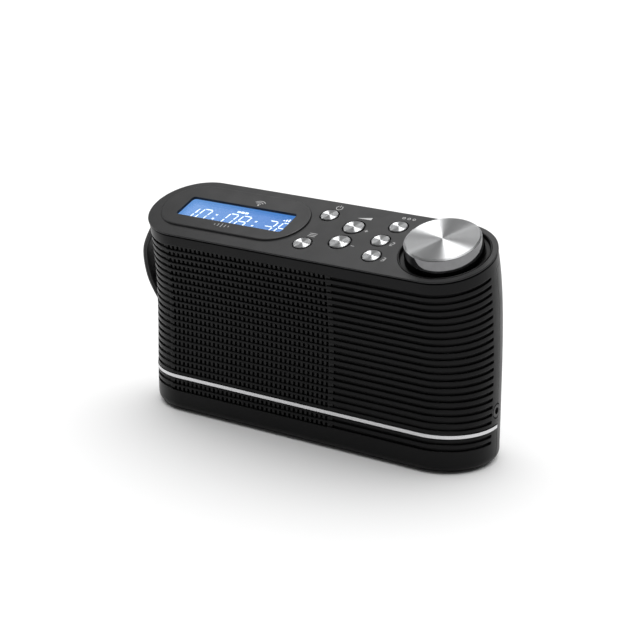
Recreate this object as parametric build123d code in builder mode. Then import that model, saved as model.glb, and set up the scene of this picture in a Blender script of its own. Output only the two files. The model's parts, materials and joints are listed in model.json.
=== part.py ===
from build123d import *
from math import cos, radians, sin
import os

# A tabletop radio with a sloping top. The case is a stadium in plan, bent forwards as it rises, and ribbed
# round the front. Millimetres, +Z up, +X to the listener's right, the front faces -Y. The origin is the
# centre of the base, on the surface that it stands on.

os.makedirs("parts", exist_ok=True)

# ---- driving dimensions: case ----
BASE_Z = 0.5  # underside of the case, above the ground
WALL = 2.4
BASE_RADIUS = 28.1  # half the depth of the case at its foot
UPPER_RADIUS = 27.4  # half the depth at the highest rib
UPPER_HALF = 75.2  # centre of the case to the centre of an end's arc, at the highest rib
UPPER_TILT = 17.2  # lean of the highest rib, degrees
UPPER_Z = 102.4  # centre of the highest rib
LOWER_Z = 24.6  # centre of the lowest rib above the bright strip
TOP_RADIUS = 26.4
TOP_HALF = 76.1
TOP_TILT = 18.4
TOP_Y = -7.1
TOP_Z = 110.6
UPPER_Y = -4.68  # the centre line at the highest rib, and how it curves down from there
CURVE_RISE = 14.98
CURVE_FALL = 10.28
BAND = 6.25  # height of the band round the top
PARTING_Y = 3.0  # parting line, behind the centre line
PARTING_GAP = 0.12
BOTTOM_ROUND = 4.5
BASE_RING = (21.5, 17.0)  # outer and inner radius of the rubber ring it stands on
RIM_ROUND = 0.4

# ---- driving dimensions: ribs, strip and grille ----
RIB_COUNT = 20
GROOVE_HEIGHT = 1.7
GROOVE_DEPTH = 1.2
GROOVE_END = -2.9  # the grooves stop this far in front of the centre line
LOW_GROOVES = (17.1, 13.5)
STRIP_Z = 20.5
STRIP_HEIGHT = 1.8
STRIP_SEAT = 2.6
STRIP_PROUD = 0.3
STRIP_DEPTH = 1.1
HOLE_PITCH = 2.875
HOLE_WIDTH = 1.5
HOLE_COUNT = 35
GRILLE_LEFT = -79.2
GRILLE_RIGHT = GRILLE_LEFT + HOLE_PITCH * HOLE_COUNT
GRILLE_LOW, GRILLE_HIGH = 9.7, 98.3
GRILLE_GROOVE = 2.5  # the grooves are taller across the grille, so its ribs are thin bars
GRILLE_DEPTH = 0.75  # the grille's face, behind the face of the ribs
FOOT_GAP = 0.27  # more room at the parting line below the strip, where it shows as a dark line

# ---- driving dimensions: top ----
PANEL_RADIUS = 25.1
PANEL_THICK = 2.2
SEAT_RADIUS = 25.3
LIP_RADIUS = 26.7  # the panel's lip, which hides the case's rim
LIP_THICK = 0.6
RIM_DROP = 1.5  # the case's rim, under the top plane: the gap below the lip is a dark line
BUTTON_HOLE, VOLUME_HOLE = 5.5, 6.4
BUTTON_CAP, VOLUME_CAP = 4.7, 5.45
FLANGE_MARGIN = {BUTTON_HOLE: 0.8, VOLUME_HOLE: 0.5}  # a button's flange, past its hole's edge
BUTTONS = {
    "power_button": (0.6, 13.7, BUTTON_HOLE, BUTTON_CAP),
    "menu_button": (0.6, -13.7, BUTTON_HOLE, BUTTON_CAP),
    "volume_up_button": (19.3, 7.1, VOLUME_HOLE, VOLUME_CAP),
    "volume_down_button": (19.3, -7.1, VOLUME_HOLE, VOLUME_CAP),
    "preset_one_button": (42.1, 13.8, BUTTON_HOLE, BUTTON_CAP),
    "preset_two_button": (39.3, 0.0, BUTTON_HOLE, BUTTON_CAP),
    "preset_three_button": (41.8, -13.6, BUTTON_HOLE, BUTTON_CAP),
}
KNOB_X = TOP_HALF
KNOB_FOOT = 20.5  # the skirt's radius at its foot
KNOB_RADIUS = 19.5  # and at its top
KNOB_FACE = 19.2
KNOB_HEIGHT = 8.0
WELL_RADIUS = 23.7
WELL_FLOOR = -1.4
SHAFT_RADIUS = 3.0
RUNNING_GAP = 0.06
LCD_X, LCD_U = -49.7, -0.2  # centre of the window
LCD_WIDTH, LCD_DEPTH = 67.8, 17.8
BEZEL_X, BEZEL_U = -51.4, 1.4
BEZEL_HALF, BEZEL_RADIUS = 25.7, 19.4
BEZEL_PROUD = 0.9
BOARD_TOP = -10.0  # upper face of the control board, below the top plane
BOARD_THICK = 1.6

# ---- driving dimensions: inside and rear ----
SPEAKER_X, SPEAKER_Z = -28.5, 56.0
SPEAKER_FACE = -20.0  # front of the speaker's flange
SPEAKER_RADIUS = 33.6
SPEAKER_BOLTS = 31.2
POST_X, POST_LOW, POST_HIGH = 84.0, 12.0, 84.0
MAIN_BOARD_Y = 5.5
BAY_X = (14.0, 71.0)
BAY_Z = (14.0, 74.0)
BAY_FLOOR = 11.0
CELL_PITCH = 15.0
DOOR_THICK = 1.8
DOOR_GAP = 0.25
DOOR_BEAD = 1.2
JACK_Y, JACK_Z = 1.9, 29.1
JACK_DEPTH = 14.0
DC_X, DC_Z = -60.0, 22.0
AERIAL_X, AERIAL_Y, AERIAL_Z = 86.0, 25.6, 103.0
LEDGE_Y, LEDGE_Z = 22.2, 99.2
TUBE_RADII = (3.0, 2.5, 2.0, 1.5)
TUBE_WALL = 0.45
STRAP_WIDTH = 16.0
STRAP_THICK = 3.2

TOP = Plane(
    origin=(0, TOP_Y, TOP_Z),
    x_dir=(1, 0, 0),
    z_dir=(0, -sin(radians(TOP_TILT)), cos(radians(TOP_TILT))),
)
SPEAKER = Plane(origin=(SPEAKER_X, SPEAKER_FACE, SPEAKER_Z), x_dir=(1, 0, 0), z_dir=(0, 1, 0))


def save(piece, name):
    """Label a finished piece and write it to its own file."""
    piece.label = name
    export_step(piece, f"parts/{name}.step")


# ---- the shape of the case ----


def share_down(z):
    """How far down the ribbed front a height is: 0 at the highest rib, 1 at the lowest above the strip."""
    return min(1.0, (UPPER_Z - z) / (UPPER_Z - LOWER_Z))


def rib_section(z):
    """Centre y, lean and radius of the case's cross-section whose centre is at height z."""
    share = share_down(z)
    centre_y = UPPER_Y + CURVE_RISE * share - CURVE_FALL * share**2
    return centre_y, UPPER_TILT * (1 - share), UPPER_RADIUS + (BASE_RADIUS - UPPER_RADIUS) * share


def leaning_plane(y, z, tilt):
    """A plane across the case, leaning forwards by tilt degrees."""
    normal = (0, -sin(radians(tilt)), cos(radians(tilt)))
    return Plane(origin=(0, y, z), x_dir=(1, 0, 0), z_dir=normal)


def case_volume(inset, floor, rise=0.0):
    """The whole inside of the case's outer surface, made smaller all round by inset."""
    middle_z = (UPPER_Z + LOWER_Z) / 2
    with BuildPart() as volume:
        for z in (floor, LOWER_Z, middle_z, UPPER_Z):
            centre_y, tilt, radius = rib_section(z)
            with BuildSketch(leaning_plane(centre_y, z, tilt)):
                SlotCenterToCenter(2 * UPPER_HALF, 2 * (radius - inset))
        with BuildSketch(TOP.offset(rise)):
            SlotCenterToCenter(2 * TOP_HALF, 2 * (TOP_RADIUS - inset))
        loft()
    return volume.part


def band_height(y, drop):
    """Height at which a plane drop below the top plane passes through y."""
    tilt = radians(TOP_TILT)
    return TOP_Z - drop * cos(tilt) + (y - TOP_Y - drop * sin(tilt)) * sin(tilt) / cos(tilt)


def behind_parting(gap):
    """Everything behind the parting line and below the top band, moved back and down by gap."""
    heights = (LOWER_Z, (UPPER_Z + LOWER_Z) / 2, UPPER_Z)
    line = [(rib_section(z)[0] + PARTING_Y + gap, z) for z in heights]
    corner_y = line[-1][0] - 0.9
    corner = (corner_y, band_height(corner_y, BAND + gap))
    far = 60.0
    with BuildPart() as region:
        with BuildSketch(Plane.YZ.offset(-150)):
            with BuildLine():
                foot = Line((line[0][0], -5), line[0])
                bend = Spline(*line, corner, tangents=[foot % 1, Vector(-0.32, 1)])
                Polyline(bend @ 1, (far, band_height(far, BAND + gap)), (far, -5), foot @ 0)
            make_face()
        extrude(amount=300)
    return region.part


def ring_band(y, z, tilt, radii, height, end):
    """A flat stadium ring round the front, between two radii, stopping at end behind the centre line."""
    outer, inner = radii
    with BuildPart() as ring:
        with BuildSketch(leaning_plane(y, z, tilt).offset(-height / 2)):
            SlotCenterToCenter(2 * UPPER_HALF, 2 * outer)
            SlotCenterToCenter(2 * UPPER_HALF, 2 * inner, mode=Mode.SUBTRACT)
            with Locations((0, end + 40)):
                Rectangle(300, 80, mode=Mode.SUBTRACT)
        extrude(amount=height)
    return ring.part


def groove(z):
    """The cutter for one groove between ribs, with rounded ends."""
    centre_y, tilt, radius = rib_section(z)
    ring = ring_band(centre_y, z, tilt, (radius + 2, radius - GROOVE_DEPTH), GROOVE_HEIGHT, GROOVE_END)
    with BuildPart() as cutter:
        add(ring)
        end_edges = cutter.edges().filter_by(Axis.X).sort_by(Axis.Y)[-4:]
        fillet(end_edges, 0.8)
    return cutter.part


def grille_groove(z):
    """The cutter that makes one groove taller across the grille."""
    centre_y, tilt, radius = rib_section(z)
    radii = (radius + 2, radius - GROOVE_DEPTH)
    with BuildPart() as cutter:
        add(ring_band(centre_y, z, tilt, radii, GRILLE_GROOVE, GROOVE_END))
        add(block((GRILLE_LEFT, GRILLE_RIGHT), (-60, -14), (0, 115)), mode=Mode.INTERSECT)
    return cutter.part


def groove_heights():
    """Centre heights of every groove, from the top down."""
    pitch = (UPPER_Z - LOWER_Z) / (RIB_COUNT - 1)
    return [UPPER_Z - pitch * number for number in range(RIB_COUNT)] + list(LOW_GROOVES)


def block(x, y, z):
    """A plain box between the given (low, high) pairs."""
    with BuildPart(Plane((sum(x) / 2, sum(y) / 2, sum(z) / 2))) as box:
        Box(x[1] - x[0], y[1] - y[0], z[1] - z[0])
    return box.part


def rod(x, z, y, radius):
    """A round bar along Y between the (low, high) pair y."""
    with BuildPart() as bar:
        with BuildSketch(Plane(origin=(x, y[0], z), x_dir=(1, 0, 0), z_dir=(0, 1, 0))):
            Circle(radius)
        extrude(amount=y[1] - y[0])
    return bar.part


# ---- case ----
inside = case_volume(WALL, BASE_Z + WALL, 4.0)
grille_pocket = case_volume(GRILLE_DEPTH - 0.05, BASE_Z + WALL)

with BuildPart() as shell:
    add(case_volume(0, BASE_Z, -RIM_DROP))
    fillet(shell.faces().sort_by(Axis.Z)[0].edges(), BOTTOM_ROUND)
    top_face = shell.faces().filter_by(lambda face: abs(face.normal_at().dot(TOP.z_dir)) > 0.999)
    fillet(top_face.edges(), RIM_ROUND)
    add(inside, mode=Mode.SUBTRACT)
    with BuildSketch(TOP):
        SlotCenterToCenter(2 * TOP_HALF, 2 * SEAT_RADIUS)
    extrude(amount=-PANEL_THICK, mode=Mode.SUBTRACT)

POSTS = [(x, z) for x in (-POST_X, POST_X) for z in (POST_LOW, POST_HIGH)]


def case_posts(y, radius, region):
    """Screw posts between the (low, high) pair y, cut to the inside of the case and to a region."""
    with BuildPart() as posts:
        for x, z in POSTS:
            add(rod(x, z, y, radius))
        add(case_volume(WALL - 0.3, BASE_Z + WALL - 0.3), mode=Mode.INTERSECT)
        add(region, mode=Mode.INTERSECT)
    return posts.part


with BuildPart() as grille_recess:
    add(grille_pocket)
    recess_x = (GRILLE_LEFT - 2.6, GRILLE_RIGHT + 2.6)
    add(block(recess_x, (-45, -14), (GRILLE_LOW - 0.2, GRILLE_HIGH + 0.2)), mode=Mode.INTERSECT)

seat_radii = (BASE_RADIUS + 2, BASE_RADIUS - STRIP_DEPTH - 0.04)
strip_seat = ring_band(rib_section(STRIP_Z)[0], STRIP_Z, 0, seat_radii, STRIP_SEAT, 8)
front_posts = case_posts((-30, PARTING_Y - 0.1), 3.5, block((-100, 100), (-40, PARTING_Y - 0.1), (0, 120)))
with BuildPart() as front_case:
    add(shell.part)
    add(behind_parting(0), mode=Mode.SUBTRACT)
    add(front_posts)
    for x, z in POSTS:  # pilot holes for the screws
        add(rod(x, z, (-8, 10), 1.5), mode=Mode.SUBTRACT)
    add(grille_recess.part, mode=Mode.SUBTRACT)
    for z in groove_heights():
        add(groove(z), mode=Mode.SUBTRACT)
        add(grille_groove(z), mode=Mode.SUBTRACT)
    add(strip_seat, mode=Mode.SUBTRACT)
    parting = rib_section(STRIP_Z)[0] + PARTING_Y
    add(block((-115, 115), (parting - FOOT_GAP, parting + 1), (-1, STRIP_Z)), mode=Mode.SUBTRACT)

rear_posts = case_posts((PARTING_Y + PARTING_GAP, 40), 4.5, behind_parting(PARTING_GAP))
with BuildPart() as rear_cover:
    add(shell.part)
    add(behind_parting(PARTING_GAP), mode=Mode.INTERSECT)
    add(rear_posts)
    add(rod(AERIAL_X, AERIAL_Z, (15, 21.8), 6.0))
    for x, z in POSTS:
        add(rod(x, z, (0, 40), 1.7), mode=Mode.SUBTRACT)
        add(rod(x, z, (9, 40), 3.2), mode=Mode.SUBTRACT)
    add(block(BAY_X, (12, 40), BAY_Z), mode=Mode.SUBTRACT)
    add(block((-115, 115), (LEDGE_Y, 40), (LEDGE_Z, 112)), mode=Mode.SUBTRACT)
    add(rod(AERIAL_X, AERIAL_Z, (21.8, 40), 5.6), mode=Mode.SUBTRACT)
    add(rod(AERIAL_X, AERIAL_Z, (10, 40), 2.06), mode=Mode.SUBTRACT)
    add(rod(DC_X, DC_Z, (20, 40), 4.25), mode=Mode.SUBTRACT)
    hinge_y = BASE_RADIUS - DOOR_BEAD
    hinge_z = BAY_Z[0] + DOOR_GAP + DOOR_BEAD
    with BuildSketch(Plane(origin=(BAY_X[0] - 1.2, hinge_y, hinge_z), z_dir=(1, 0, 0))):
        Circle(0.66)
    extrude(amount=BAY_X[1] - BAY_X[0] + 2.4, mode=Mode.SUBTRACT)

jack_hole = Plane(origin=(90, JACK_Y, JACK_Z), z_dir=(1, 0, 0))
with BuildPart() as socket_hole:
    with BuildSketch(jack_hole):
        Circle(4.1)
    extrude(amount=20)
STRAP_SLOTS = ((95.3, 105.2), (48.2, 59.4))
strap_y = (-0.5 - STRAP_WIDTH / 2, -0.5 + STRAP_WIDTH / 2)
strap_slot_y = (strap_y[0] - 0.6, strap_y[1] + 0.6)


def openings_in(case_part):
    """Cut what both halves of the case share: socket hole, strap slots and the base ring's groove."""
    with BuildPart() as cut:
        add(case_part)
        add(socket_hole.part, mode=Mode.SUBTRACT)
        for slot_z in STRAP_SLOTS:
            add(block((-115, -96), strap_slot_y, slot_z), mode=Mode.SUBTRACT)
        with BuildSketch(Plane.XY.offset(BASE_Z - 1)):
            SlotCenterToCenter(2 * UPPER_HALF, 2 * (BASE_RING[0] + 0.1))
            SlotCenterToCenter(2 * UPPER_HALF, 2 * (BASE_RING[1] - 0.1), mode=Mode.SUBTRACT)
        extrude(amount=1.7, mode=Mode.SUBTRACT)
    return cut.part


save(openings_in(front_case.part), "front_case")
save(openings_in(rear_cover.part), "rear_cover")

# ---- trim and grille ----

with BuildPart() as trim_strip:
    strip_radii = (BASE_RADIUS + STRIP_PROUD, BASE_RADIUS - STRIP_DEPTH)
    add(ring_band(rib_section(STRIP_Z)[0], STRIP_Z, 0, strip_radii, STRIP_HEIGHT, PARTING_Y - 0.2))
save(trim_strip.part, "trim_strip")

with BuildPart() as speaker_posts:
    with BuildSketch(SPEAKER):
        with PolarLocations(SPEAKER_BOLTS, 4, 45):
            Circle(1.9)
    extrude(amount=-12)
    add(case_volume(GROOVE_DEPTH + 0.3, BASE_Z + WALL), mode=Mode.INTERSECT)

with BuildPart() as grille_insert:
    add(case_volume(GRILLE_DEPTH, BASE_Z + WALL))
    add(case_volume(WALL, BASE_Z + WALL), mode=Mode.SUBTRACT)
    insert_x = (GRILLE_LEFT - 2.4, GRILLE_RIGHT + 2.4)
    add(block(insert_x, (-45, -14), (GRILLE_LOW, GRILLE_HIGH)), mode=Mode.INTERSECT)
    with BuildSketch(Plane.XZ.offset(20)):
        slot_middle = GRILLE_LEFT + HOLE_PITCH * HOLE_COUNT / 2
        with Locations((slot_middle, 54.0)):
            with GridLocations(HOLE_PITCH, 1, HOLE_COUNT, 1):
                Rectangle(HOLE_WIDTH, 83.6)
    extrude(amount=20, mode=Mode.SUBTRACT)
    add(speaker_posts.part)
    with BuildSketch(SPEAKER):
        with PolarLocations(SPEAKER_BOLTS, 4, 45):
            Circle(1.05)
    extrude(amount=-3.5, mode=Mode.SUBTRACT)
    add(strip_seat, mode=Mode.SUBTRACT)
save(grille_insert.part, "grille_insert")

with BuildPart() as speaker_cloth:
    add(case_volume(WALL + 0.05, BASE_Z + WALL))
    add(case_volume(WALL + 0.45, BASE_Z + WALL), mode=Mode.SUBTRACT)
    add(block((GRILLE_LEFT - 1, GRILLE_RIGHT + 1), (-45, -14), (10.5, 97)), mode=Mode.INTERSECT)
    with BuildSketch(SPEAKER):
        with PolarLocations(SPEAKER_BOLTS, 4, 45):
            Circle(2.1)
    extrude(amount=-12, mode=Mode.SUBTRACT)
save(speaker_cloth.part, "speaker_cloth")

# ---- top ----


def highest_face(piece):
    """The face of a piece that stands furthest out of the sloping top."""
    return piece.faces().sort_by(lambda face: TOP.to_local_coords(face.center()).Z)[-1]


POST_PLACES = [(-9, 18.5), (-9, -18.5), (9.8, 0), (29.5, 17), (29.5, -17)]
with BuildPart() as top_panel:
    with BuildSketch(TOP):
        SlotCenterToCenter(2 * TOP_HALF, 2 * PANEL_RADIUS)
    extrude(amount=-PANEL_THICK)
    with BuildSketch(TOP):
        SlotCenterToCenter(2 * TOP_HALF, 2 * LIP_RADIUS)
    extrude(amount=-LIP_THICK)
    chamfer(highest_face(top_panel).edges(), 0.25)
    with BuildSketch(TOP):
        for x, u, hole, _ in BUTTONS.values():
            with Locations((x, u)):
                Circle(hole)
        with Locations((KNOB_X, 0)):
            Circle(WELL_RADIUS + 0.1)
        with Locations((BEZEL_X, BEZEL_U)):
            SlotCenterToCenter(2 * BEZEL_HALF, 2 * (BEZEL_RADIUS - 0.5))
    extrude(amount=-PANEL_THICK, mode=Mode.SUBTRACT)
    with BuildSketch(TOP.offset(-PANEL_THICK)):
        with Locations(*POST_PLACES):
            Circle(2.5)
    extrude(amount=BOARD_TOP + PANEL_THICK)
    with BuildSketch(TOP.offset(BOARD_TOP)):
        with Locations(*POST_PLACES):
            Circle(1.25)
    extrude(amount=6.5, mode=Mode.SUBTRACT)
save(top_panel.part, "top_panel")

WINDOW_PLANE = Plane(TOP.from_local_coords(Vector(LCD_X, LCD_U, 0)), x_dir=(1, 0, 0), z_dir=TOP.z_dir)
BEZEL_PLANE = Plane(TOP.from_local_coords(Vector(BEZEL_X, BEZEL_U, 0)), x_dir=(1, 0, 0), z_dir=TOP.z_dir)
KNOB_PLANE = Plane(TOP.from_local_coords(Vector(KNOB_X, 0, 0)), x_dir=(1, 0, 0), z_dir=TOP.z_dir)

with BuildPart() as lcd_bezel:
    with BuildSketch(BEZEL_PLANE.offset(0.02)):
        SlotCenterToCenter(2 * BEZEL_HALF, 2 * BEZEL_RADIUS)
    extrude(amount=BEZEL_PROUD)
    fillet(highest_face(lcd_bezel).edges(), 0.6)
    with BuildSketch(BEZEL_PLANE.offset(0.02)):
        SlotCenterToCenter(2 * BEZEL_HALF, 2 * (BEZEL_RADIUS - 0.6))
    extrude(amount=-PANEL_THICK)
    with BuildSketch(WINDOW_PLANE.offset(2)):
        RectangleRounded(LCD_WIDTH, LCD_DEPTH, 2)
    extrude(amount=-6, mode=Mode.SUBTRACT)
    with BuildSketch(WINDOW_PLANE.offset(-0.6)):
        RectangleRounded(LCD_WIDTH + 3.4, LCD_DEPTH + 3.4, 1)
    extrude(amount=-3, mode=Mode.SUBTRACT)
save(lcd_bezel.part, "lcd_bezel")


def layer(width, depth, top, bottom, round_radius):
    """A flat rectangle of the display stack, between two heights measured from the top plane."""
    with BuildPart() as sheet:
        with BuildSketch(WINDOW_PLANE.offset(top)):
            RectangleRounded(width, depth, round_radius)
        extrude(amount=bottom - top)
    return sheet.part


save(layer(LCD_WIDTH + 3.2, LCD_DEPTH + 3.2, -0.65, -1.85, 0.9), "lcd_window")
save(layer(74, 24, -2.35, -5.0, 0.5), "lcd_display")
save(layer(74, 24, -5.05, -7.5, 0.5), "lcd_backlight")
with BuildPart() as lcd_holder:
    add(layer(77.5, 27.5, -2.3, BOARD_TOP, 1.5))
    add(layer(74.3, 24.3, -2, -7.6, 0.6), mode=Mode.SUBTRACT)
    add(layer(68, 18, -7, BOARD_TOP - 1, 0.6), mode=Mode.SUBTRACT)
save(lcd_holder.part, "lcd_holder")

with BuildPart() as control_board:
    with BuildSketch(TOP.offset(BOARD_TOP)):
        with Locations((-2.8, 0)):
            RectangleRounded(170.4, 32, 3)
        with Locations(*POST_PLACES):
            Circle(4)
    extrude(amount=-BOARD_THICK)
    with BuildSketch(TOP.offset(BOARD_TOP)):
        with Locations(*POST_PLACES):
            Circle(1.4)
    extrude(amount=-BOARD_THICK, mode=Mode.SUBTRACT)
save(control_board.part, "control_board")

with BuildPart() as tact_switches:
    for x, u, *_ in BUTTONS.values():
        with BuildSketch(TOP.offset(BOARD_TOP)):
            with Locations((x, u)):
                Rectangle(6, 6)
        extrude(amount=3.5)
        with BuildSketch(TOP.offset(BOARD_TOP + 3.5)):
            with Locations((x, u)):
                Circle(1.7)
        extrude(amount=0.8)
save(tact_switches.part, "tact_switches")

for name, (x, u, hole, cap) in BUTTONS.items():
    place = Plane(TOP.from_local_coords(Vector(x, u, 0)), x_dir=(1, 0, 0), z_dir=TOP.z_dir)
    with BuildPart() as button:
        with BuildSketch(place.offset(-2.3)):
            Circle(cap)
        extrude(amount=2.8)
        fillet(highest_face(button).edges(), 0.45)
        with BuildSketch(place.offset(-2.3)):
            Circle(hole + FLANGE_MARGIN[hole])
        extrude(amount=-0.7)
        with BuildSketch(place.offset(-3.0)):
            Circle(1.6)
        extrude(amount=-1.8)
    save(button.part, name)

# ---- knob ----


def turned(plane, outline):
    """A solid of revolution about the plane's normal, from (radius, height) points."""
    half_plane = Plane(origin=plane.origin, x_dir=plane.x_dir, z_dir=-plane.y_dir)
    with BuildPart() as solid:
        with BuildSketch(half_plane):
            with BuildLine():
                Polyline(*outline, close=True)
            make_face()
        revolve(axis=Axis(plane.origin, plane.z_dir))
    return solid.part


with BuildPart() as knob_well:
    add(turned(KNOB_PLANE, [
        (3.65, -2.6), (WELL_RADIUS, -2.6), (WELL_RADIUS, 0.35), (22.9, 0.35), (22.3, WELL_FLOOR),
        (3.65, WELL_FLOOR),
    ]))
    fillet(highest_face(knob_well).edges(), 0.36)
save(knob_well.part, "knob_well")

with BuildPart() as encoder_body:
    with BuildSketch(KNOB_PLANE.offset(BOARD_TOP)):
        Rectangle(12, 12)
    extrude(amount=6)
    with BuildSketch(KNOB_PLANE.offset(-4)):
        Circle(3.5)
    extrude(amount=4.5)
    with BuildSketch(KNOB_PLANE.offset(-9.5)):
        Circle(5)
    extrude(amount=4.5, mode=Mode.SUBTRACT)
    with BuildSketch(KNOB_PLANE.offset(-5.5)):
        Circle(SHAFT_RADIUS + RUNNING_GAP)
    extrude(amount=7, mode=Mode.SUBTRACT)
save(encoder_body.part, "encoder_body")

with BuildPart() as encoder_nut:
    with BuildSketch(KNOB_PLANE.offset(WELL_FLOOR)):
        RegularPolygon(5.6, 6)
        Circle(3.52, mode=Mode.SUBTRACT)
    extrude(amount=1.5)
save(encoder_nut.part, "encoder_nut")

with BuildPart() as encoder_rotor:
    with BuildSketch(KNOB_PLANE.offset(-8.2)):
        Circle(4.7)
        Circle(SHAFT_RADIUS + RUNNING_GAP, mode=Mode.SUBTRACT)
    extrude(amount=1.5)
save(encoder_rotor.part, "encoder_rotor")

with BuildPart() as encoder_shaft:
    with BuildSketch(KNOB_PLANE.offset(-8.9)):
        Circle(SHAFT_RADIUS)
    extrude(amount=13.8)
    chamfer(highest_face(encoder_shaft).edges(), 0.4)
save(encoder_shaft.part, "encoder_shaft")

SKIRT_TOP = KNOB_HEIGHT - 0.8
with BuildPart() as knob_skirt:
    add(turned(KNOB_PLANE, [
        (0, 6.6), (0, 5.2), (SHAFT_RADIUS + 0.03, 5.2), (SHAFT_RADIUS + 0.03, 1.0), (5.5, 1.0), (5.5, 5.0),
        (18.0, 5.0), (18.6, -0.5), (KNOB_FOOT, -0.5), (KNOB_RADIUS, SKIRT_TOP),
        (KNOB_FACE + 0.05, SKIRT_TOP), (KNOB_FACE + 0.05, 6.6),
    ]))
save(knob_skirt.part, "knob_skirt")
save(turned(KNOB_PLANE, [
    (0, 6.62), (KNOB_FACE, 6.62), (KNOB_FACE, SKIRT_TOP + 0.1), (KNOB_FACE - 0.7, KNOB_HEIGHT),
    (0, KNOB_HEIGHT),
]), "knob_cap")

# ---- speaker ----

BASKET_DEPTH = 15.2
with BuildPart() as speaker_basket:
    add(turned(SPEAKER, [
        (28.0, 0), (SPEAKER_RADIUS, 0), (SPEAKER_RADIUS, 1.2), (29.0, 1.2), (19.5, 14.2),
        (19.5, BASKET_DEPTH), (10, BASKET_DEPTH), (10, 14.2), (18.3, 14.2), (28.0, 1.2),
    ]))
    with BuildSketch(SPEAKER.offset(3)):
        with PolarLocations(23.5, 6):
            Rectangle(12, 12)
    extrude(amount=9.5, mode=Mode.SUBTRACT)
    with BuildSketch(SPEAKER):
        with PolarLocations(SPEAKER_BOLTS, 4, 45):
            Circle(1.4)
    extrude(amount=1.2, mode=Mode.SUBTRACT)
save(speaker_basket.part, "speaker_basket")

save(turned(SPEAKER, [
    (0, 16), (6.2, 16), (6.2, 25), (9, 25), (9, 18.2), (7.4, 18.2), (7.4, 15.25), (19, 15.25),
    (19, 18.2), (20, 18.2), (20, 25), (19, 25), (19, 28), (0, 28),
]), "speaker_magnet")
save(turned(SPEAKER, [
    (24.5, 0.95), (24.5, 1.6), (7.0, 12.6), (6.9, 12.6), (6.9, 20), (6.5, 20), (6.5, 12.2),
]), "speaker_cone")
save(turned(SPEAKER, [(0, 7.9), (4, 8.6), (7.3, 10.8), (7.3, 11.4), (4, 9.2), (0, 8.5)]), "speaker_dust_cap")

surround_plane = Plane(origin=SPEAKER.origin, x_dir=SPEAKER.x_dir, z_dir=-SPEAKER.y_dir)
with BuildPart() as speaker_surround:
    with BuildSketch(surround_plane):
        with BuildLine():
            ThreePointArc((24.6, 0.9), (26.2, -0.7), (27.8, 0.9))
            Line((27.8, 0.9), (27.3, 0.9))
            ThreePointArc((27.3, 0.9), (26.2, -0.2), (25.1, 0.9))
            Line((25.1, 0.9), (24.6, 0.9))
        make_face()
    revolve(axis=Axis(SPEAKER.origin, SPEAKER.z_dir))
save(speaker_surround.part, "speaker_surround")

with BuildPart() as speaker_gasket:
    with BuildSketch(SPEAKER):
        Circle(SPEAKER_RADIUS)
        Circle(28.0, mode=Mode.SUBTRACT)
        with PolarLocations(SPEAKER_BOLTS, 4, 45):
            Circle(2.0, mode=Mode.SUBTRACT)
    extrude(amount=-3.8)
save(speaker_gasket.part, "speaker_gasket")

with BuildPart() as speaker_screws:
    with BuildSketch(SPEAKER.offset(1.2)):
        with PolarLocations(SPEAKER_BOLTS, 4, 45):
            Circle(1.9)
    extrude(amount=1.3)
    with BuildSketch(SPEAKER.offset(1.3)):
        with PolarLocations(SPEAKER_BOLTS, 4, 45):
            Circle(1.0)
    extrude(amount=-4.4)
save(speaker_screws.part, "speaker_screws")

# ---- electronics ----

BOARD_BACK = MAIN_BOARD_Y + BOARD_THICK
BOARD_SCREWS = [(x, z) for x in (20, 66) for z in (20, 68)]
with BuildPart() as main_board:
    add(block((12, 96), (MAIN_BOARD_Y, BOARD_BACK), (8, 84)))
    for z in (POST_LOW, POST_HIGH):
        add(rod(POST_X, z, (MAIN_BOARD_Y - 1, BOARD_BACK + 1), 5.0), mode=Mode.SUBTRACT)
    for x, z in BOARD_SCREWS:
        add(rod(x, z, (MAIN_BOARD_Y - 1, BOARD_BACK + 1), 1.4), mode=Mode.SUBTRACT)
save(main_board.part, "main_board")

FRONT = MAIN_BOARD_Y
with BuildPart() as radio_module:
    add(block((30, 58), (FRONT - 4, FRONT), (40, 62)))
save(radio_module.part, "radio_module")
with BuildPart() as board_chips:
    for x, z, side in ((72, 52, 10), (72, 34, 7), (42, 28, 8), (88, 62, 6)):
        add(block((x - side / 2, x + side / 2), (FRONT - 1.4, FRONT), (z - side / 2, z + side / 2)))
save(board_chips.part, "board_chips")
with BuildPart() as board_capacitors:
    for x, z, radius in ((24, 32, 4), (24, 43, 4), (53, 30, 3), (60, 32, 3), (84, 46, 3)):
        add(rod(x, z, (FRONT - 9, FRONT), radius))
save(board_capacitors.part, "board_capacitors")
with BuildPart() as board_connectors:
    add(block((13, 18), (FRONT - 4, FRONT), (50, 58)))
    add(block((13, 18), (FRONT - 4, FRONT), (13, 17.5)))
    add(block((41, 59), (FRONT - 4, FRONT), (76, 82)))
    add(block((75.5, 79), (BOARD_BACK, BOARD_BACK + 4), (46, 52)))
    add(block((66, 70), (BOARD_BACK, BOARD_BACK + 3), (77, 81)))
save(board_connectors.part, "board_connectors")

with BuildPart() as ribbon_cable:
    with BuildSketch(Plane.YZ.offset(42)):
        with BuildLine() as ribbon_line:
            FilletPolyline((-3.2, 99.1), (-3.2, 93.5), (3.5, 89), (3.5, 82.1), radius=2.5)
        trace(line_width=0.6)
    extrude(amount=16)
save(ribbon_cable.part, "ribbon_cable")

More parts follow.
